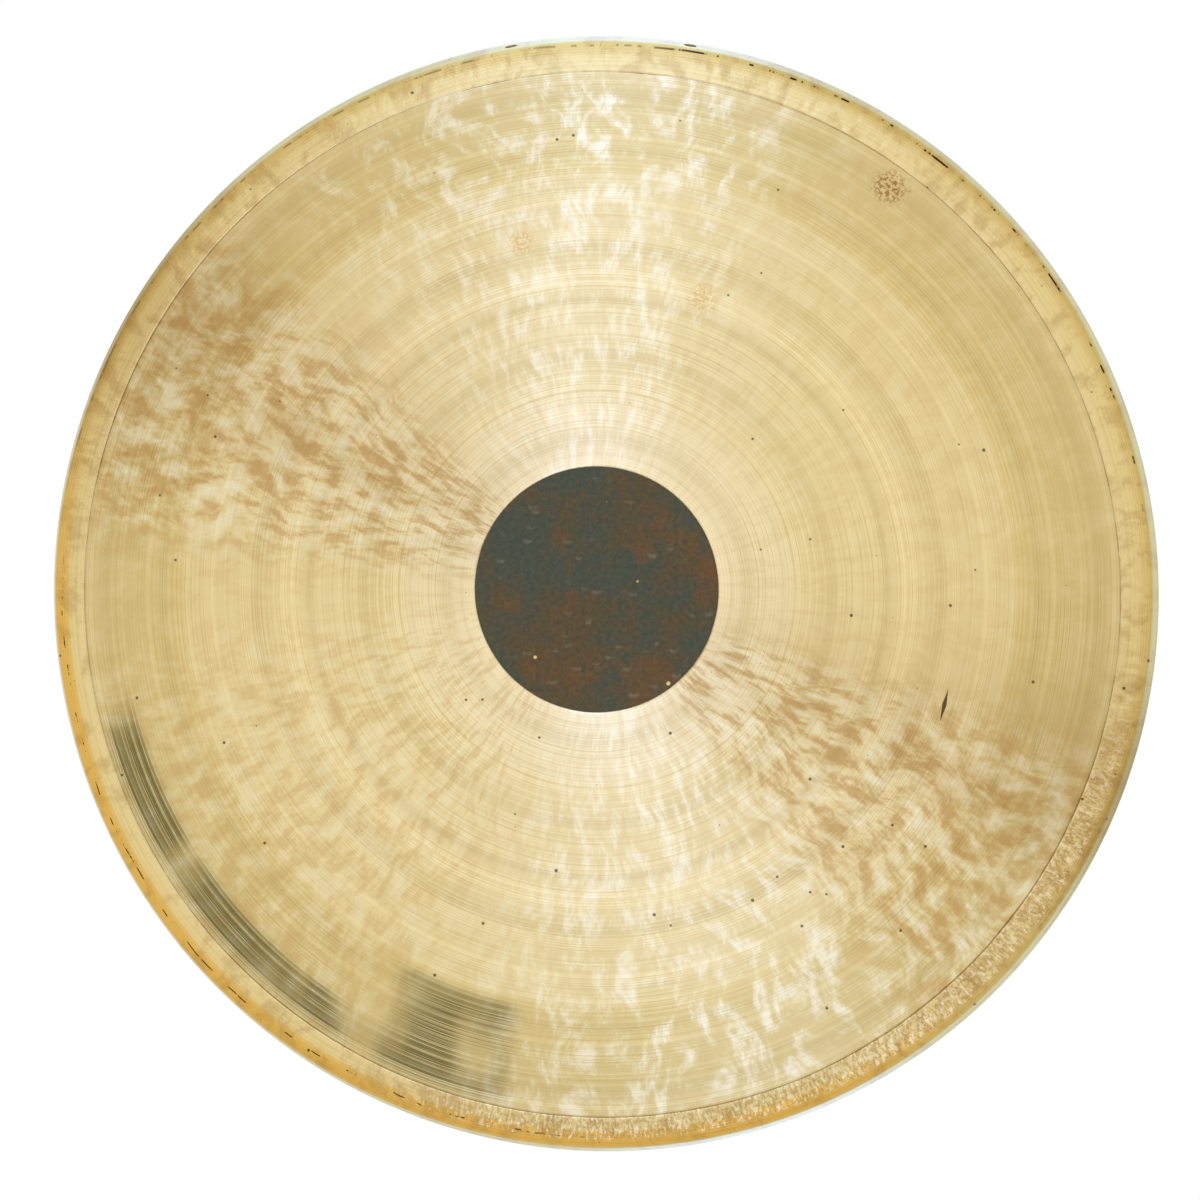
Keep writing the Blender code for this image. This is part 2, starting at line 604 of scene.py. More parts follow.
@dataclass
class HammeredRim(TurnedPiece):
    """The rim, its rounded corner, the turned-back lip and the two hanging holes."""

    hole_diameter: float = 0.0100
    hole_angle: float = radians(9.3)
    hole_from_edge: float = 0.0125
    hole_sides: int = 40
    bit_length: float = 0.03
    edge_chamfer: float = 0.0004
    front_rows: int = 38
    rear_rows: int = 24
    seam_ease: float = 0.004
    sectors: int = 5

    def build(self, finish: bpy.types.Material, bare: bpy.types.Material) -> bpy.types.Object:
        """Make the rim in the metal's full thickness and drill it.

        Args:
            finish: The material of the hammered metal.
            bare: The material of the drilled walls.

        Returns:
            The finished piece.
        """
        start = self.outline.run_of(self.outline.rim_step)
        end = float(self.outline.section()[0][-1])
        metal = self.outline.lip_thickness
        chamfer = self.edge_chamfer
        front = np.linspace(start, end - chamfer, self.front_rows)
        rear = np.linspace(end - chamfer, start, self.rear_rows)
        run = np.concatenate([front, [end, end], rear])
        edge = [chamfer, metal - chamfer]
        inwards = np.concatenate([np.zeros(len(front)), edge, np.full(len(rear), metal)])
        thin = (1 - smooth(run, start, start + self.seam_ease)) * (metal - self.outline.face_thickness)
        inwards = np.where(inwards > metal / 2, inwards - thin, inwards)
        piece = self.mesh_of(self.rings(run, inwards), False)
        self.lay_strips(piece.data, len(run))
        self.finish(piece, finish)
        piece.data.materials.append(bare)
        self.drill(piece, "left", -self.hole_angle, bare)
        self.drill(piece, "right", self.hole_angle, bare)
        return piece

    def lay_strips(self, mesh: bpy.types.Mesh, count: int) -> None:
        """Lay the bake map as long strips, one above the other.

        Args:
            mesh: The rim's mesh.
            count: Number of rings of points.
        """
        loops = np.arange(len(mesh.loops))
        corner = loops % 4
        face = loops // 4
        around = face % self.columns
        first = [mesh.loops[index].vertex_index for index in range(4)]
        far = [index for index, vertex in enumerate(first) if vertex % self.columns == 1]
        high = [index for index, vertex in enumerate(first) if vertex >= self.columns]
        wide = self.columns // self.sectors
        strip = np.minimum(around // wide, self.sectors - 1)
        across = 0.01 + 0.98 * (around + np.isin(corner, far) - strip * wide) / wide
        up = 0.005 + 0.188 * strip + 0.18 * (face // self.columns + np.isin(corner, high)) / count
        values = np.stack([across, up], axis=1)
        mesh.uv_layers.new(name=BAKE_MAP).data.foreach_set("uv", values.ravel())

    def drill(self, rim: bpy.types.Object, side: str, angle: float, bare: bpy.types.Material) -> None:
        """Cut one hanging hole straight in through the lip.

        Args:
            rim: The rim to cut.
            side: Name of the hole.
            angle: Its angle from the top.
            bare: The material of its wall.
        """
        bpy.ops.mesh.primitive_cylinder_add(
            vertices=self.hole_sides,
            radius=self.hole_diameter / 2,
            depth=self.bit_length,
            end_fill_type="NGON",
        )
        bit = bpy.context.active_object
        bit.name = f"bit_{side}"
        radius = self.outline.lip_radius - self.hole_from_edge / tan(self.outline.lip_slope)
        place = Vector((0.0, -FRONT_Y - self.hole_from_edge, radius))
        bit.matrix_world = Matrix.Rotation(angle, 4, "Y") @ Matrix.Translation(place)
        bit.data.materials.append(bare)
        bit.data.uv_layers[0].name = BAKE_MAP
        self.place_bit_map(bit.data, 0.02 if side == "left" else 0.52)
        cut = rim.modifiers.new(f"hole_{side}", "BOOLEAN")
        cut.operation = "DIFFERENCE"
        cut.solver = "EXACT"
        cut.material_mode = "TRANSFER"
        cut.object = bit
        bpy.context.view_layer.update()
        graph = bpy.context.evaluated_depsgraph_get()
        drilled = bpy.data.meshes.new_from_object(rim.evaluated_get(graph), depsgraph=graph)
        rim.modifiers.clear()
        old = rim.data
        rim.data = drilled
        bpy.data.meshes.remove(old)
        drilled.name = rim.name
        bpy.data.objects.remove(bit, do_unlink=True)

    def place_bit_map(self, mesh: bpy.types.Mesh, left: float) -> None:
        """Give the drilled wall its own strip at the top of the bake map.

        Args:
            mesh: The drill's mesh.
            left: Where its strip begins.
        """
        layer = mesh.uv_layers[BAKE_MAP]
        for face in mesh.polygons:
            corners = [mesh.vertices[vertex].co for vertex in face.vertices]
            turns = [np.arctan2(corner.y, corner.x) / WHOLE_TURN % 1.0 for corner in corners]
            if max(turns) - min(turns) > 0.5:
                turns = [turn + 1.0 if turn < 0.5 else turn for turn in turns]
            for loop, corner, turn in zip(face.loop_indices, corners, turns):
                layer.data[loop].uv = (left + 0.4 * turn, 0.97 + corner.z * 0.9)


@dataclass
class Board:
    """A node tree with short ways to add to it."""

    tree: bpy.types.NodeTree

    def node(self, kind: str, **settings: object) -> bpy.types.Node:
        """Add a node and set its properties.

        Args:
            kind: The node's type.
            **settings: Its properties by name.

        Returns:
            The new node.
        """
        node = self.tree.nodes.new(kind)
        for name, value in settings.items():
            setattr(node, name, value)
        return node

    def feed(self, target: Socket, value: Feed | None) -> None:
        """Set a socket to a plain value, or link another socket to it.

        Args:
            target: The socket to feed.
            value: A value, a socket, or None to leave it alone.
        """
        if isinstance(value, Socket):
            self.tree.links.new(value, target)
        elif value is not None:
            target.default_value = value

    def combine(self, kind: str, operation: str, *values: Feed, result: int = 0) -> Socket:
        """Add a Math or Vector Math node.

        Args:
            kind: The node's type.
            operation: What it does.
            *values: Its inputs in order.
            result: Which of its outputs is wanted.

        Returns:
            The wanted output.
        """
        node = self.node(kind, operation=operation)
        for socket, value in zip(node.inputs, values):
            self.feed(socket, value)
        return node.outputs[result]

    def maths(self, operation: str, *values: Feed) -> Socket:
        """Add a Math node and give its result."""
        return self.combine("ShaderNodeMath", operation, *values)

    def vector(self, operation: str, *values: Feed) -> Socket:
        """Add a Vector Math node and give its vector."""
        return self.combine("ShaderNodeVectorMath", operation, *values)

    def measure(self, operation: str, *values: Feed) -> Socket:
        """Add a Vector Math node and give its number."""
        return self.combine("ShaderNodeVectorMath", operation, *values, result=1)

    def times(self, *values: Feed) -> Socket:
        """Multiply values."""
        return reduce(lambda first, second: self.maths("MULTIPLY", first, second), values)

    def plus(self, first: Feed, second: Feed) -> Socket:
        """Add two values."""
        return self.maths("ADD", first, second)

    def stretch(self, value: Feed, least: float, more: float) -> Socket:
        """Stretch a value from 0 to 1 so that it runs from least to least plus more."""
        return self.plus(self.times(value, more), least)

    def most(self, *values: Feed) -> Socket:
        """Give the largest of several values."""
        return reduce(lambda first, second: self.maths("MAXIMUM", first, second), values)

    def fall(self, value: Feed, start: Feed, end: Feed) -> Socket:
        """Fall smoothly from 1 to 0 between two values."""
        return self.maths("SUBTRACT", 1.0, self.rise(value, start, end))

    def rise(self, value: Feed, start: Feed, end: Feed) -> Socket:
        """Rise smoothly from 0 to 1 between two values.

        Args:
            value: The value to weigh.
            start: Where the rise begins.
            end: Where it is over.

        Returns:
            The weight.
        """
        node = self.node("ShaderNodeMapRange", interpolation_type="SMOOTHSTEP")
        for name, number in (("Value", value), ("From Min", start), ("From Max", end)):
            self.feed(node.inputs[name], number)
        return node.outputs["Result"]

    def window(self, value: Feed, span: Span) -> Socket:
        """Be 1 within a span and fall to 0 over its soft edges.

        Args:
            value: The value to weigh.
            span: The span.

        Returns:
            The weight.
        """
        rising = self.rise(value, span.start - span.soft, span.start)
        return self.times(rising, self.fall(value, span.end, span.end + span.soft))

    def noise(self, place: Feed, grain: Grain, flat: bool = False) -> Socket:
        """Add noise.

        Args:
            place: The point, or the number where the noise is flat.
            grain: Its scale, detail and roughness.
            flat: Whether it runs along a number and not in space.

        Returns:
            The noise's value.
        """
        node = self.node("ShaderNodeTexNoise", noise_dimensions="1D" if flat else "3D")
        self.feed(node.inputs["W" if flat else "Vector"], place)
        for name, number in zip(("Scale", "Detail", "Roughness"), grain):
            node.inputs[name].default_value = number
        return node.outputs["Fac"]

    def joined(self, x: Feed | None, y: Feed | None, z: Feed | None) -> Socket:
        """Make a vector of three values.

        Args:
            x: Along X, or None for nothing.
            y: Along Y, or None for nothing.
            z: Along Z, or None for nothing.

        Returns:
            The vector.
        """
        node = self.node("ShaderNodeCombineXYZ")
        for socket, value in zip(node.inputs, (x, y, z)):
            self.feed(socket, value)
        return node.outputs[0]

    def blend(self, share: Feed, first: Feed, second: Feed, mix: Mix = Mix.OVER) -> Socket:
        """Lay a second colour over a first.

        Args:
            share: How much of the second shows.
            first: The colour below.
            second: The colour on top.
            mix: How it is laid.

        Returns:
            The mixed colour.
        """
        node = self.node("ShaderNodeMix", data_type="RGBA", blend_type=mix.value)
        self.feed(node.inputs[0], share)
        self.feed(node.inputs[6], first)
        self.feed(node.inputs[7], second)
        return node.outputs[2]

    def ramp(self, value: Feed, stops: tuple[tuple[float, Colour], ...]) -> Socket:
        """Add a colour ramp.

        Args:
            value: The value to look up.
            stops: Places from 0 to 1 and their colours.

        Returns:
            The colour.
        """
        node = self.node("ShaderNodeValToRGB")
        ramp = node.color_ramp
        while len(ramp.elements) < len(stops):
            ramp.elements.new(0.5)
        for element, (place, colour) in zip(ramp.elements, stops):
            element.position = place
            element.color = colour
        self.feed(node.inputs["Fac"], value)
        return node.outputs["Color"]

    def group(self, tree: bpy.types.NodeTree, **values: Feed) -> bpy.types.NodeOutputs:
        """Place a node group.

        Args:
            tree: The group.
            **values: Its inputs by name.

        Returns:
            Its outputs.
        """
        node = self.node("ShaderNodeGroup", node_tree=tree)
        for name, value in values.items():
            self.feed(node.inputs[name], value)
        return node.outputs

    def bump(self, height: Feed, relief: Range) -> Socket:
        """Turn a height into a normal.

        Args:
            height: The height, from 0 to 1.
            relief: The height of 1 in metres, and the share of the bump that is used.

        Returns:
            The normal.
        """
        node = self.node("ShaderNodeBump")
        node.inputs["Distance"].default_value, node.inputs["Strength"].default_value = relief
        self.feed(node.inputs["Height"], height)
        return node.outputs["Normal"]


class EffectGroup:
    """A shader node group under construction, with named sockets."""

    def __init__(self, name: str, takes: dict[str, str], gives: dict[str, str]) -> None:
        """Make the group's sockets.

        Args:
            name: The group's name.
            takes: Input names and their kinds, Float or Vector.
            gives: Output names and their kinds.
        """
        self.tree = bpy.data.node_groups.new(name, "ShaderNodeTree")
        for way, sockets in (("INPUT", takes), ("OUTPUT", gives)):
            for title, kind in sockets.items():
                self.tree.interface.new_socket(title, in_out=way, socket_type=f"NodeSocket{kind}")
        self.board = Board(self.tree)
        self.given = self.board.node("NodeGroupInput").outputs
        self.out = self.board.node("NodeGroupOutput").inputs

    def give(self, **results: Feed) -> bpy.types.NodeTree:
        """Feed the group's outputs.

        Args:
            **results: What each output gives.

        Returns:
            The finished group.
        """
        for name, value in results.items():
            self.board.feed(self.out[name], value)
        return self.tree


@dataclass
class Effects:
    """The node groups that the finishes share."""

    outline: Outline
    wander: float = 0.0012  # how far the hand-held lathe tool strays
    wander_grain: Grain = Grain(9.0)
    fine_lines: Grain = Grain(1000.0, 1.0, 0.6)
    coarse_lines: Grain = Grain(330.0, 1.0)
    coarse_offset: float = 3.7
    fine_share: float = 0.65
    coarse_share: float = 0.35
    line_force: Grain = Grain(14.0, 3.0, 0.6)
    force_rise: Range = (0.35, 0.72)
    force_range: Range = (0.45, 1.1)
    line_middle: float = 0.5
    tone_rings: Grain = Grain(46.0, 2.0, 0.55)
    tone_offset: float = 11.3
    streak_draw: float = 1.6  # how fast a streak changes outwards, against sideways
    streak_bend: Grain = Grain(11.0)
    streak_shove: Range = (0.16, 0.11)
    streak_grain: Grain = Grain(25.0, 4.0, 0.62)
    patch_grain: Grain = Grain(4.2)
    speck_range: Range = (0.05, 0.10)
    speck_edge: float = 1.8

    def __post_init__(self) -> None:
        """Build each group once."""
        self.turning = self.turning_coordinates()
        self.lathe = self.lathe_marks()
        self.streaks = self.hammer_streaks()
        self.specks = self.oxide_specks()
        self.toward = self.angle_window()

    def turning_coordinates(self) -> bpy.types.NodeTree:
        """Give each point its place about the centre that the lathe ran round.

        Returns:
            A group with Place, Radius, Run and Round, the direction from the axis.
        """
        gives = {"Place": "Vector", "Radius": "Float", "Run": "Float", "Round": "Vector"}
        group = EffectGroup("turning_coordinates", {}, gives)
        board = group.board
        here = board.node("ShaderNodeTexCoord").outputs["Object"]
        flat = board.vector("MULTIPLY", here, (1.0, 0.0, 1.0))
        hold = board.fall(board.measure("LENGTH", flat), *self.outline.shift_fade)
        centre = (self.outline.shift_x, 0.0, self.outline.shift_z)
        shift = board.vector("MULTIPLY", centre, board.joined(hold, hold, hold))
        place = board.vector("SUBTRACT", flat, shift)
        radius = board.measure("LENGTH", place)
        split = board.node("ShaderNodeSeparateXYZ")
        board.feed(split.inputs[0], here)
        depth = board.maths("SUBTRACT", split.outputs["Y"], FRONT_Y)
        rounds = board.vector("NORMALIZE", place)
        return group.give(Place=place, Radius=radius, Run=board.plus(radius, depth), Round=rounds)

    def lathe_marks(self) -> bpy.types.NodeTree:
        """Make the fine grooves and the broader tonal rings of hand lathing.

        Returns:
            A group with Line, Tone and Height from Radius and Place.
        """
        takes = {"Radius": "Float", "Place": "Vector"}
        group = EffectGroup("lathe_marks", takes, {"Line": "Float", "Tone": "Float", "Height": "Float"})
        board, place = group.board, group.given["Place"]
        stray = board.times(board.noise(place, self.wander_grain), self.wander)
        radius = board.plus(group.given["Radius"], stray)
        fine = board.noise(radius, self.fine_lines, flat=True)
        coarse = board.noise(board.plus(radius, self.coarse_offset), self.coarse_lines, flat=True)
        strength = board.rise(board.noise(place, self.line_force), *self.force_rise)
        line = board.plus(board.times(fine, self.fine_share), board.times(coarse, self.coarse_share))
        force = board.stretch(strength, *self.force_range)
        swing = board.times(board.maths("SUBTRACT", line, self.line_middle), force)
        tone = board.noise(board.plus(radius, self.tone_offset), self.tone_rings, flat=True)
        return group.give(Line=board.plus(swing, self.line_middle), Tone=tone, Height=line)

    def hammer_streaks(self) -> bpy.types.NodeTree:
        """Make streaks that run out from the centre, as a hand draws the hammer out.

        Returns:
            A group with Streak and Patch from Round, Radius and Place.
        """
        takes = {"Round": "Vector", "Radius": "Float", "Place": "Vector"}
        group = EffectGroup("hammer_streaks", takes, {"Streak": "Float", "Patch": "Float"})
        board = group.board
        along = board.joined(None, board.times(group.given["Radius"], self.streak_draw), None)
        wide = board.vector("ADD", group.given["Round"], along)
        bent = board.noise(group.given["Place"], self.streak_bend)
        across, upwards = (board.times(bent, share) for share in self.streak_shove)
        shove = board.joined(across, None, upwards)
        streak = board.noise(board.vector("ADD", wide, shove), self.streak_grain)
        return group.give(Streak=streak, Patch=board.noise(wide, self.patch_grain))

    def oxide_specks(self) -> bpy.types.NodeTree:
        """Make small scattered specks and pits.

        Returns:
            A group with Mask from Place, Scale and Amount.
        """
        takes = {"Place": "Vector", "Scale": "Float", "Amount": "Float"}
        group = EffectGroup("oxide_specks", takes, {"Mask": "Float"})
        board = group.board
        cell = board.node("ShaderNodeTexVoronoi", feature="F1", voronoi_dimensions="3D")
        board.feed(cell.inputs["Vector"], group.given["Place"])
        board.feed(cell.inputs["Scale"], group.given["Scale"])
        pick = board.node("ShaderNodeSeparateColor")
        board.feed(pick.inputs[0], cell.outputs["Color"])
        chosen = board.maths("LESS_THAN", pick.outputs[0], group.given["Amount"])
        size = board.stretch(pick.outputs[1], *self.speck_range)
        near = board.fall(cell.outputs["Distance"], size, board.times(size, self.speck_edge))
        return group.give(Mask=board.times(chosen, near))

    def angle_window(self) -> bpy.types.NodeTree:
        """Pick out a sector of the disc.

        Returns:
            A group with Mask from Round, Aim, From and To, the last two as cosines.
        """
        takes = {"Round": "Vector", "Aim": "Vector", "From": "Float", "To": "Float"}
        group = EffectGroup("angle_window", takes, {"Mask": "Float"})
        facing = group.board.measure("DOT_PRODUCT", group.given["Round"], group.given["Aim"])
        return group.give(Mask=group.board.rise(facing, group.given["From"], group.given["To"]))


class Surface:
    """A material under construction, with the shared coordinates and marks in it."""

    def __init__(self, name: str, effects: Effects) -> None:
        """Start the material.

        Args:
            name: The material's name.
            effects: The shared node groups.
        """
        self.material = bpy.data.materials.new(name)
        self.material.use_nodes = True
        self.effects = effects
        self.board = Board(self.material.node_tree)
        self.shader = self.material.node_tree.nodes["Principled BSDF"]
        turn = self.board.group(effects.turning)
        self.place = turn["Place"]
        self.radius = turn["Radius"]
        self.run = turn["Run"]
        self.rounds = turn["Round"]
        self.colour: Feed = WHITE

    def lay(self, share: Feed, tint: Feed, mix: Mix = Mix.OVER) -> None:
        """Lay a colour over what the material has so far."""
        self.colour = self.board.blend(share, self.colour, tint, mix)

    def lathe(self) -> bpy.types.NodeOutputs:
        """Place the lathe's marks."""
        return self.board.group(self.effects.lathe, Radius=self.radius, Place=self.place)

    def streaks(self) -> bpy.types.NodeOutputs:
        """Place the hammer's streaks."""
        group = self.effects.streaks
        return self.board.group(group, Round=self.rounds, Radius=self.radius, Place=self.place)

    def specks(self, scale: float, amount: float) -> Socket:
        """Place scattered specks."""
        group = self.effects.specks
        return self.board.group(group, Place=self.place, Scale=scale, Amount=amount)["Mask"]

    def sector(self, sector: Sector) -> Socket:
        """Mask a sector of the disc.

        Args:
            sector: The sector.

        Returns:
            The mask.
        """
        aim = (sin(radians(sector.middle)), 0.0, cos(radians(sector.middle)))
        group = self.effects.toward
        start = cos(radians(sector.half + sector.soft))
        end = cos(radians(sector.half))
        return self.board.group(group, Round=self.rounds, Aim=aim, From=start, To=end)["Mask"]

    def close(self, roughness: Feed, metallic: Feed, normal: Socket) -> bpy.types.Material:
        """Feed the shader.

        Args:
            roughness: The roughness.
            metallic: The metallic share.
            normal: The bumped normal.

        Returns:
            The finished material.
        """
        fed = {"Base Color": self.colour, "Roughness": roughness, "Metallic": metallic, "Normal": normal}
        for name, value in fed.items():
            self.board.feed(self.shader.inputs[name], value)
        return self.material


@dataclass(frozen=True)
class LathedBronze:
    """Pale gold metal under fine concentric grooves."""

    effects: Effects
    name: str = "lathed_bronze"
    marked: bool = True
    roughness: Range = (0.27, 0.35)
    anisotropy: float = 0.9
    anisotropic_turn: float = 0.25
    relief: Range = (0.00012, 0.6)
    zones: tuple[tuple[float, Colour], ...] = (  # against twice the radius
        (0.20, srgb(252, 234, 190)), (0.314, srgb(250, 231, 182)), (0.322, srgb(244, 224, 170)),
        (0.55, srgb(243, 222, 166)), (0.673, srgb(238, 217, 160)), (0.684, srgb(229, 206, 143)),
        (0.80, srgb(226, 204, 143)), (0.86, srgb(231, 209, 151)),
    )
    tone: tuple[tuple[float, Colour], ...] = ((0.3, srgb(238, 236, 230)), (0.7, WHITE))
    tone_share: float = 0.9
    lines: tuple[tuple[float, Colour], ...] = ((0.25, srgb(214, 200, 168)), (0.62, WHITE))
    line_share: float = 0.55
    right_fan: Sector = Sector(126, 8, 14)
    left_fan: Sector = Sector(295, 7, 16)
    lower_fan: Sector = Sector(232, 14, 20)
    lower_share: float = 0.35
    top_light: Sector = Sector(354, 12, 24)
    foot_light: Sector = Sector(166, 16, 20)
    # brown of the worked fans: partly a stain of the hammering, partly painted dark reflection
    fan_stain_and_dark_reflection: Colour = srgb(196, 150, 86)
    stain_and_reflection_rise: Range = (0.47, 0.64)
    stain_and_reflection_range: Range = (0.16, 0.75)
    stain_and_reflection_share: float = 0.66
    # painted highlight: pale cream for the bright fans above and below the centre and between the streaks
    # of the worked fans
    painted_highlight: Colour = srgb(255, 248, 220)
    highlight_fall: Range = (0.30, 0.54)
    highlight_range: Range = (0.08, 0.50)
    dull: Colour = srgb(176, 138, 82)
    dull_rise: Range = (0.40, 0.66)
    dull_share: float = 0.45
    # sectors and bands where a dark reflection is painted in olive along the grooves
    left_reflection: Sector = Sector(232, 19, 9)
    foot_reflection: Sector = Sector(199, 4, 6)
    outer_band: Span = Span(0.398, 0.416, 0.010)
    whole_band: Span = Span(0.352, 0.416, 0.012)
    olive_reflection: Colour = srgb(88, 84, 46)
    broken_rise: Range = (0.30, 0.50)
    groove_fall: Range = (0.42, 0.62)
    groove_range: Range = (0.32, 0.55)
    pit: Colour = srgb(48, 36, 20)
    pits: Range = (150.0, 0.030)
    pit_share: float = 0.8
    speckle: Grain = Grain(330.0, 2.0, 0.6)
    speckle_rise: Range = (0.47, 0.56)
    stain_core: float = 0.3
    stains: tuple[Stain, ...] = (
        Stain((0.237, 0.0, 0.331), 0.020, 0.75, srgb(150, 88, 36)),
        Stain((-0.061, 0.0, 0.282), 0.014, 0.45, srgb(212, 150, 70)),
        Stain((0.086, 0.0, 0.237), 0.016, 0.45, srgb(212, 150, 70)),
    )
    nick_middle: tuple[float, float, float] = (0.2819, 0.0, -0.0931)
    nick_along: tuple[float, float, float] = (0.24, 0.0, 0.97)
    nick_across: tuple[float, float, float] = (0.97, 0.0, -0.24)
    nick_half_width: float = 0.0018
    nick_taper: float = 0.13
    nick_colour: Colour = srgb(70, 52, 24)
    nick_share: float = 0.9

    def build(self) -> bpy.types.Material:
        """Build the material.

        Returns:
            The material.
        """
        surface = Surface(self.name, self.effects)
        board = surface.board
        marks = surface.lathe()
        fans = surface.streaks()
        surface.colour = board.ramp(board.times(surface.radius, 2.0), self.zones)
        surface.lay(self.tone_share, board.ramp(marks["Tone"], self.tone), Mix.MULTIPLY)
        if self.marked:
            self.paint_fan_stains_and_light(surface, fans)
        else:
            streak = board.rise(fans["Streak"], *self.dull_rise)
            surface.lay(board.times(streak, self.dull_share), self.dull)
        surface.lay(self.line_share, board.ramp(marks["Line"], self.lines), Mix.MULTIPLY)
        if self.marked:
            self.paint_dark_reflection(surface, marks, fans)
            self.odd_marks(surface)
        surface.lay(board.times(surface.specks(*self.pits), self.pit_share), self.pit)
        rough = board.node("ShaderNodeMapRange")
        board.feed(rough.inputs["Value"], fans["Streak"])
        rough.inputs["To Min"].default_value, rough.inputs["To Max"].default_value = self.roughness
        surface.shader.inputs["Anisotropic"].default_value = self.anisotropy
        surface.shader.inputs["Anisotropic Rotation"].default_value = self.anisotropic_turn
        tangent = board.node("ShaderNodeTangent", direction_type="RADIAL", axis="Y")
        board.feed(surface.shader.inputs["Tangent"], tangent.outputs[0])
        return surface.close(rough.outputs["Result"], 1.0, board.bump(marks["Height"], self.relief))

    def paint_fan_stains_and_light(self, surface: Surface, fans: bpy.types.NodeOutputs) -> None:
        """Warm the worked fans with browner streaks, partly a stain of the hammering and partly painted
        dark reflection, and paint a pale cream highlight between the streaks of the bright fans above and
        below the centre and of the worked fans.

        Args:
            surface: The material so far.
            fans: The streak group's outputs.
        """
        board = surface.board
        lower = board.times(surface.sector(self.lower_fan), self.lower_share)
        both = board.most(surface.sector(self.right_fan), surface.sector(self.left_fan), lower)
        streak = board.rise(fans["Streak"], *self.stain_and_reflection_rise)
        weight = board.stretch(both, *self.stain_and_reflection_range)
        # painted dark reflection in the worked fans, laid over the real hammer streaks
        surface.lay(board.times(streak, weight, self.stain_and_reflection_share), self.fan_stain_and_dark_reflection)
        # painted highlight: cream laid where the streaks are weak, in the fans above and below the centre
        # and in the worked fans
        bright = board.most(surface.sector(self.top_light), surface.sector(self.foot_light), both)
        pale = board.fall(fans["Streak"], *self.highlight_fall)
        surface.lay(board.times(pale, board.stretch(bright, *self.highlight_range)), self.painted_highlight)

    def paint_dark_reflection(self, surface: Surface, marks: bpy.types.NodeOutputs, fans: bpy.types.NodeOutputs) -> None:
        """Lay a painted dark olive reflection along the grooves of the lower left band.

        Args:
            surface: The material so far.
            marks: The lathe group's outputs.
            fans: The streak group's outputs.
        """
        board = surface.board
        left = board.times(surface.sector(self.left_reflection), board.window(surface.radius, self.outer_band))
        foot = board.times(surface.sector(self.foot_reflection), board.window(surface.radius, self.whole_band))
        broken = board.rise(fans["Patch"], *self.broken_rise)
        depth = board.stretch(board.fall(marks["Line"], *self.groove_fall), *self.groove_range)
        # painted dark reflection, darkest in the grooves
        surface.lay(board.times(board.most(left, foot), broken, depth), self.olive_reflection)

    def odd_marks(self, surface: Surface) -> None:
        """Add the speckled brown stain, two orange ones and the dark sliver of a nick.

        Args:
            surface: The material so far.
        """
        board = surface.board
        speckle = board.rise(board.noise(surface.place, self.speckle), *self.speckle_rise)
        for stain in self.stains:
            away = board.measure("LENGTH", board.vector("SUBTRACT", surface.place, stain.middle))
            near = board.fall(away, stain.size * self.stain_core, stain.size)
            surface.lay(board.times(near, speckle, stain.force), stain.tint)
        offset = board.vector("SUBTRACT", surface.place, self.nick_middle)
        along = board.maths("ABSOLUTE", board.measure("DOT_PRODUCT", offset, self.nick_along))
        across = board.maths("ABSOLUTE", board.measure("DOT_PRODUCT", offset, self.nick_across))
        wide = board.maths("SUBTRACT", self.nick_half_width, board.times(along, self.nick_taper))
        nick = board.maths("LESS_THAN", across, wide)
        surface.lay(board.times(nick, self.nick_share), self.nick_colour)


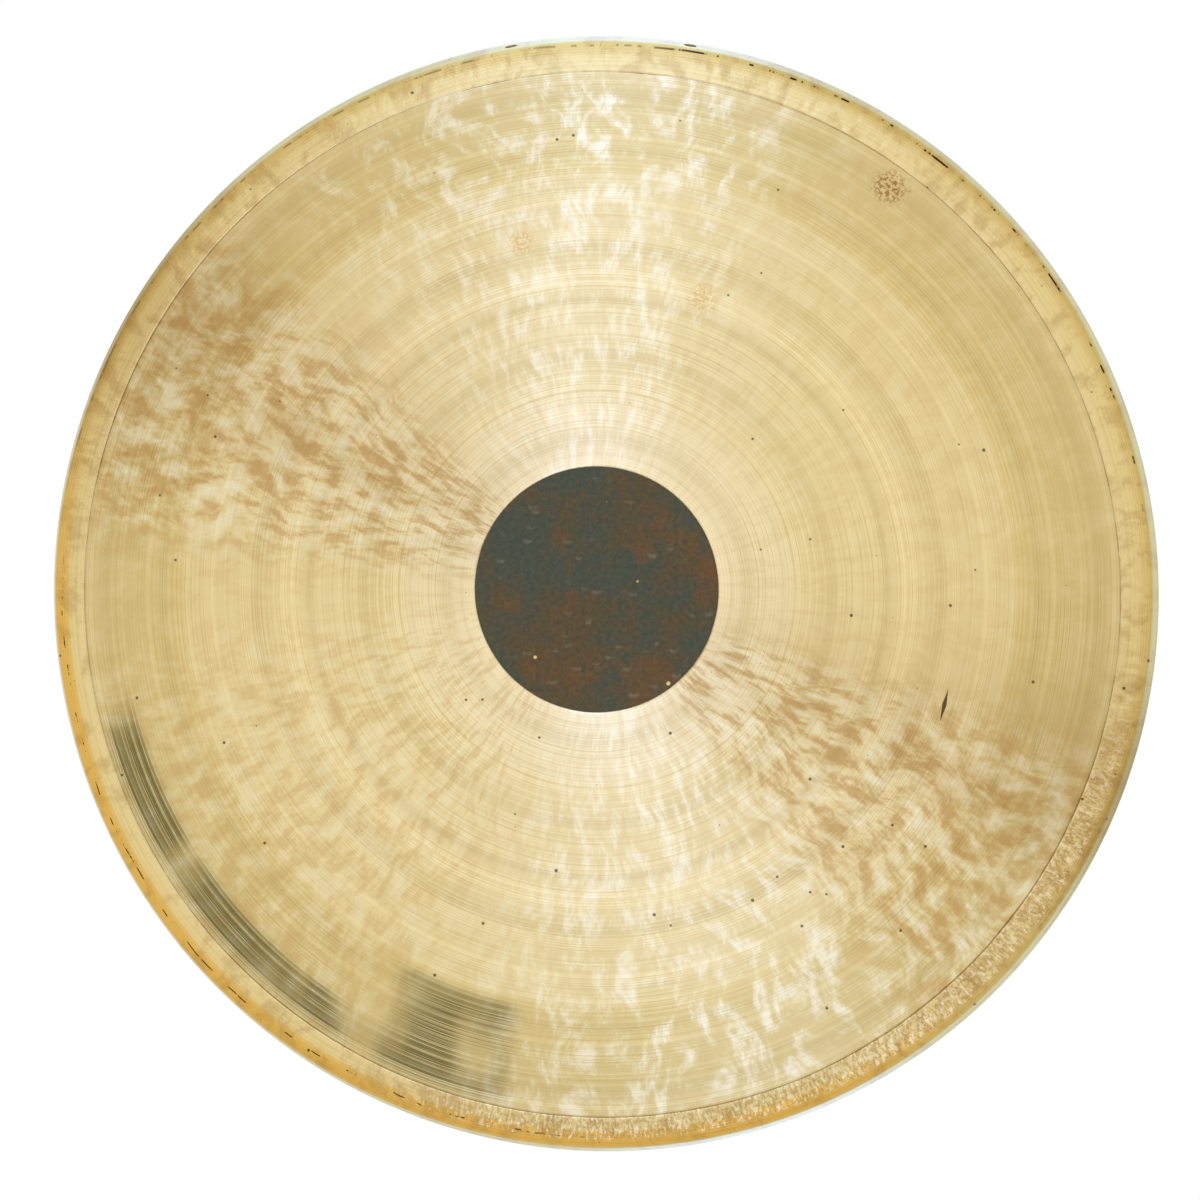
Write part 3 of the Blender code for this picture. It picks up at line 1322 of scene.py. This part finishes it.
@dataclass(frozen=True)
class HammeredGold:
    """Deeper gold metal of the rim, corner and lip, with oxide left in the crease."""

    effects: Effects
    roughness: float = 0.30
    relief: Range = (0.0003, 0.5)
    zones_from: float = 0.44
    zones_per_metre: float = 12.5
    zones: tuple[tuple[float, Colour], ...] = (
        (0.05, srgb(236, 214, 156)), (0.30, srgb(230, 207, 144)), (0.42, srgb(218, 190, 120)),
        (0.52, srgb(206, 182, 108)), (0.60, srgb(200, 192, 122)), (0.85, srgb(204, 198, 134)),
    )
    lines: tuple[tuple[float, Colour], ...] = ((0.25, srgb(206, 190, 150)), (0.62, WHITE))
    line_share: float = 0.5
    warm_side: Sector = Sector(212, 52, 30)
    corner: Span = Span(0.466, 0.480, 0.006)
    orange: Colour = srgb(228, 180, 84)
    orange_share: float = 0.8
    brown: Colour = srgb(170, 128, 62)
    brown_rise: Range = (0.46, 0.64)
    brown_share: float = 0.35
    peened_side: Sector = Sector(152, 34, 24)
    peened_band: Span = Span(0.449, 0.470, 0.004)
    peen_draw: float = 0.9
    peen_shade: Colour = srgb(172, 132, 70)
    shade_rise: Range = (0.42, 0.60)
    shade_share: float = 0.5
    peen_light: Colour = srgb(252, 238, 200)
    light_fall: Range = (0.38, 0.48)
    light_share: float = 0.6
    dark_facets: Grain = Grain(210.0, 2.0, 0.6)
    light_facets: Grain = Grain(150.0, 2.0, 0.6)
    grit: Grain = Grain(420.0, 3.0, 0.6)
    dashes: Grain = Grain(26.0, 4.0, 0.7)
    dash_rise: Range = (0.50, 0.56)
    sway: Grain = Grain(3.5, 3.0, 0.6)
    sway_middle: float = 0.5
    sway_size: float = 0.012
    thin_crease: Span = Span(0.4690, 0.4696, 0.0007)
    heavy_crease: Span = Span(0.4770, 0.4792, 0.0009)
    lower_scale: Sector = Sector(228, 38, 12)
    lower_range: Range = (0.1, 0.85)
    upper_scale: Sector = Sector(42, 30, 14)
    other_scale: Sector = Sector(350, 60, 14)
    other_share: float = 0.45
    oxide: Colour = srgb(44, 32, 16)
    pits: Range = (150.0, 0.05)
    pit_share: float = 0.8

    def build(self) -> bpy.types.Material:
        """Build the material.

        Returns:
            The material.
        """
        surface = Surface("hammered_rim", self.effects)
        board = surface.board
        marks = surface.lathe()
        fans = surface.streaks()
        zone = board.times(board.maths("SUBTRACT", surface.run, self.zones_from), self.zones_per_metre)
        surface.colour = board.ramp(zone, self.zones)
        gold = board.times(surface.sector(self.warm_side), board.window(surface.run, self.corner))
        surface.lay(board.times(gold, self.orange_share), self.orange)
        streak = board.rise(fans["Streak"], *self.brown_rise)
        surface.lay(board.times(streak, self.brown_share), self.brown)
        self.peen(surface)
        surface.lay(self.line_share, board.ramp(marks["Line"], self.lines), Mix.MULTIPLY)
        surface.lay(self.crease_oxide(surface), self.oxide)
        surface.lay(board.times(surface.specks(*self.pits), self.pit_share), self.oxide)
        grit = board.noise(surface.place, self.grit)
        return surface.close(self.roughness, 1.0, board.bump(grit, self.relief))

    def peen(self, surface: Surface) -> None:
        """Pick out the small facets of the peening in shade and light.

        Args:
            surface: The material so far.
        """
        board = surface.board
        lengthwise = board.joined(None, board.times(surface.run, self.peen_draw), None)
        marked = board.vector("ADD", surface.rounds, lengthwise)
        peened = board.times(surface.sector(self.peened_side), board.window(surface.run, self.peened_band))
        shade = board.rise(board.noise(marked, self.dark_facets), *self.shade_rise)
        surface.lay(board.times(peened, board.times(shade, self.shade_share)), self.peen_shade)
        light = board.fall(board.noise(marked, self.light_facets), *self.light_fall)
        surface.lay(board.times(peened, board.times(light, self.light_share)), self.peen_light)

    def crease_oxide(self, surface: Surface) -> Socket:
        """Mask the broken line of scale left where the rim turns into the corner.

        Args:
            surface: The material so far.

        Returns:
            The mask.
        """
        board, rounds = surface.board, surface.rounds
        dashes = board.rise(board.noise(rounds, self.dashes), *self.dash_rise)
        sway = board.maths("SUBTRACT", board.noise(rounds, self.sway), self.sway_middle)
        bent = board.plus(surface.run, board.times(sway, self.sway_size))
        lower = board.stretch(surface.sector(self.lower_scale), *self.lower_range)
        thin = board.times(board.window(bent, self.thin_crease), lower)
        other = board.times(surface.sector(self.other_scale), self.other_share)
        upper = board.most(surface.sector(self.upper_scale), other)
        heavy = board.times(board.window(bent, self.heavy_crease), upper)
        return board.times(dashes, board.most(thin, heavy))


@dataclass(frozen=True)
class FireScale:
    """Near-black scale on the unlathed centre, with slate and rust patches."""

    effects: Effects
    roughness: float = 0.55
    specular: float = 0.18
    relief: Range = (0.0004, 0.7)
    brown: Colour = srgb(98, 82, 56)
    slate: Colour = srgb(78, 84, 70)
    rust: Colour = srgb(122, 84, 44)
    # pale of the dimples' lower edges: partly rubbed scale, partly painted highlight
    pale: Colour = srgb(150, 152, 132)
    bare: Colour = srgb(232, 204, 130)
    bare_specks: Range = (120.0, 0.022)
    clouds: Grain = Grain(15.0, 6.0, 0.65)
    brown_rise: Range = (0.42, 0.62)
    rust_clouds: Grain = Grain(21.0, 6.0, 0.68)
    rust_rise: Range = (0.50, 0.68)
    rust_share: float = 0.62
    wear_and_highlight_rise: Range = (0.3, 0.55)
    wear_and_highlight_share: float = 0.38
    fine: Grain = Grain(240.0, 5.0, 0.7)
    rust_offset: tuple[float, float, float] = (3.1, 0.7, 5.2)
    grain: tuple[tuple[float, Colour], ...] = ((0.3, srgb(176, 176, 176)), (0.7, WHITE))
    grain_share: float = 0.7

    def build(self) -> bpy.types.Material:
        """Build the material.

        Returns:
            The material.
        """
        surface = Surface("dark_oxide", self.effects)
        board, place = surface.board, surface.place
        second = board.noise(board.vector("ADD", place, self.rust_offset), self.rust_clouds)
        fine = board.noise(place, self.fine)
        surface.colour = self.slate
        surface.lay(board.rise(board.noise(place, self.clouds), *self.brown_rise), self.brown)
        surface.lay(board.times(board.rise(second, *self.rust_rise), self.rust_share), self.rust)
        surface.lay(self.grain_share, board.ramp(fine, self.grain), Mix.MULTIPLY)
        # pale on the dimples' lower edges: partly wear, partly painted highlight
        worn_and_highlit = board.node("ShaderNodeAttribute", attribute_name="worn_and_highlit", attribute_type="GEOMETRY")
        rub_and_highlight = board.times(worn_and_highlit.outputs["Fac"], board.rise(fine, *self.wear_and_highlight_rise))
        surface.lay(board.times(rub_and_highlight, self.wear_and_highlight_share), self.pale)
        bright = surface.specks(*self.bare_specks)
        surface.lay(bright, self.bare)
        surface.shader.inputs["Specular IOR Level"].default_value = self.specular
        return surface.close(self.roughness, bright, board.bump(fine, self.relief))


@dataclass(frozen=True)
class DrilledMetal:
    """Bright metal in the walls of the hanging holes."""

    effects: Effects
    rings: Grain = Grain(2600.0, 2.0, 0.6)
    groove: Colour = srgb(120, 92, 44)
    ridge: Colour = srgb(190, 158, 86)
    roughness: float = 0.42
    relief: Range = (0.0001, 0.6)

    def build(self) -> bpy.types.Material:
        """Build the material.

        Returns:
            The material.
        """
        surface = Surface("drilled_bore", self.effects)
        ring = surface.board.noise(surface.radius, self.rings, flat=True)
        surface.colour = self.groove
        surface.lay(ring, self.ridge)
        return surface.close(self.roughness, 1.0, surface.board.bump(ring, self.relief))


@dataclass
class Studio:
    """A white room with a soft box overhead and a pale floor."""

    floor_height: float = -1.2
    floor_size: float = 2.6
    floor_grain: Grain = Grain(1.5)
    floor_tones: tuple[Colour, Colour] = (srgb(246, 246, 246), srgb(250, 250, 250))
    floor_roughness: float = 0.9
    strip: Sector = Sector(174, 5, 16)
    gap: Sector = Sector(296, 3, 12)
    strip_colour: Colour = (1.42, 1.66, 2.5, 1.0)
    gap_colour: Colour = (0.62, 0.52, 0.40, 1.0)
    off_axis: Range = (0.02, 0.14)  # where the strips fade in, away from the gong's axis

    def build(self) -> None:
        """Set the view, the room's light and the floor."""
        bpy.context.scene.view_settings.view_transform = "Standard"
        self.light_room()
        self.lay_floor()

    def light_room(self) -> None:
        """Light the gong from all round, with soft boxes that only polished metal shows."""
        world = bpy.data.worlds.new("studio")
        world.use_nodes = True
        bpy.context.scene.world = world
        world.node_tree.nodes.clear()
        board = Board(world.node_tree)
        aim = board.node("ShaderNodeTexCoord").outputs["Generated"]
        flat = board.vector("MULTIPLY", aim, (1.0, 0.0, 1.0))
        away = board.rise(board.measure("LENGTH", flat), *self.off_axis)
        rounds = board.vector("NORMALIZE", flat)
        strip = board.times(self.facing(board, rounds, self.strip), away)
        gap = board.times(self.facing(board, rounds, self.gap), away)
        colour = board.blend(strip, WHITE, self.strip_colour)
        colour = board.blend(gap, colour, self.gap_colour)
        rays = board.node("ShaderNodeLightPath").outputs
        colour = board.blend(board.most(rays["Is Glossy Ray"], rays["Is Transmission Ray"]), WHITE, colour)
        back = board.node("ShaderNodeBackground")
        board.feed(back.inputs["Color"], colour)
        board.feed(board.node("ShaderNodeOutputWorld").inputs["Surface"], back.outputs[0])

    def facing(self, board: Board, rounds: Socket, strip: Sector) -> Socket:
        """Mask a strip of the room and the one opposite it.

        Args:
            board: The world's board.
            rounds: The direction round the gong's axis.
            strip: The strip.

        Returns:
            The mask.
        """
        aim = (sin(radians(strip.middle)), 0.0, cos(radians(strip.middle)))
        near = board.maths("ABSOLUTE", board.measure("DOT_PRODUCT", rounds, aim))
        return board.rise(near, cos(radians(strip.half + strip.soft)), cos(radians(strip.half)))

    def lay_floor(self) -> None:
        """Lay a plain pale floor well below the gong."""
        half = self.floor_size / 2
        corners = [(-half, -half), (half, -half), (half, half), (-half, half)]
        mesh = bpy.data.meshes.new("floor")
        mesh.from_pydata([(x, y, self.floor_height) for x, y in corners], [], [(0, 1, 2, 3)])
        floor = bpy.data.objects.new("floor", mesh)
        bpy.context.scene.collection.objects.link(floor)
        material = bpy.data.materials.new("pale_floor")
        material.use_nodes = True
        board = Board(material.node_tree)
        shader = material.node_tree.nodes["Principled BSDF"]
        cloud = board.noise(board.node("ShaderNodeTexCoord").outputs["Object"], self.floor_grain)
        board.feed(shader.inputs["Base Color"], board.blend(cloud, *self.floor_tones))
        shader.inputs["Roughness"].default_value = self.floor_roughness
        mesh.materials.append(material)


@dataclass
class Eye:
    """The camera, a little to the right of the gong's axis and above it."""

    turn: float = radians(4.5)
    rise: float = radians(1.5)
    distance: float = 4.2
    lens: float = 154.2
    sensor: float = 36.0
    far: float = 50.0
    target: tuple[float, float, float] = (0.00065, 0.0, -0.0033)

    def build(self) -> None:
        """Make the camera and aim it."""
        camera = bpy.data.cameras.new("camera")
        camera.lens = self.lens
        camera.sensor_width = self.sensor
        camera.clip_end = self.far
        eye = bpy.data.objects.new("camera", camera)
        bpy.context.scene.collection.objects.link(eye)
        away = Vector((sin(self.turn) * cos(self.rise), -cos(self.turn) * cos(self.rise), sin(self.rise)))
        eye.location = Vector(self.target) + away * self.distance
        eye.rotation_euler = away.to_track_quat("Z", "Y").to_euler()
        bpy.context.scene.camera = eye


def main() -> None:
    """Build the gong, the studio and the camera."""
    logging.basicConfig(level=logging.INFO, format="%(name)s: %(message)s")
    outline = Outline()
    work = HammerWork(outline)
    effects = Effects(outline)
    scale = FireScale(effects).build()
    lathed = {
        Side.FRONT: LathedBronze(effects).build(),
        Side.REAR: LathedBronze(effects, name="lathed_rear", marked=False).build(),
    }
    gold = HammeredGold(effects).build()
    bare = DrilledMetal(effects).build()
    for side in Side:
        CentreDisc(f"centre_{side.value}", outline, work, 360, "dark_oxide", side=side).build(scale)
        LathedFace(f"face_{side.value}", outline, work, 576, "lathed_bronze", side=side).build(lathed[side])
    HammeredRim("rim", outline, work, 1440, "hammered_rim").build(gold, bare)
    Studio().build()
    Eye().build()


if __name__ == "__main__":
    main()
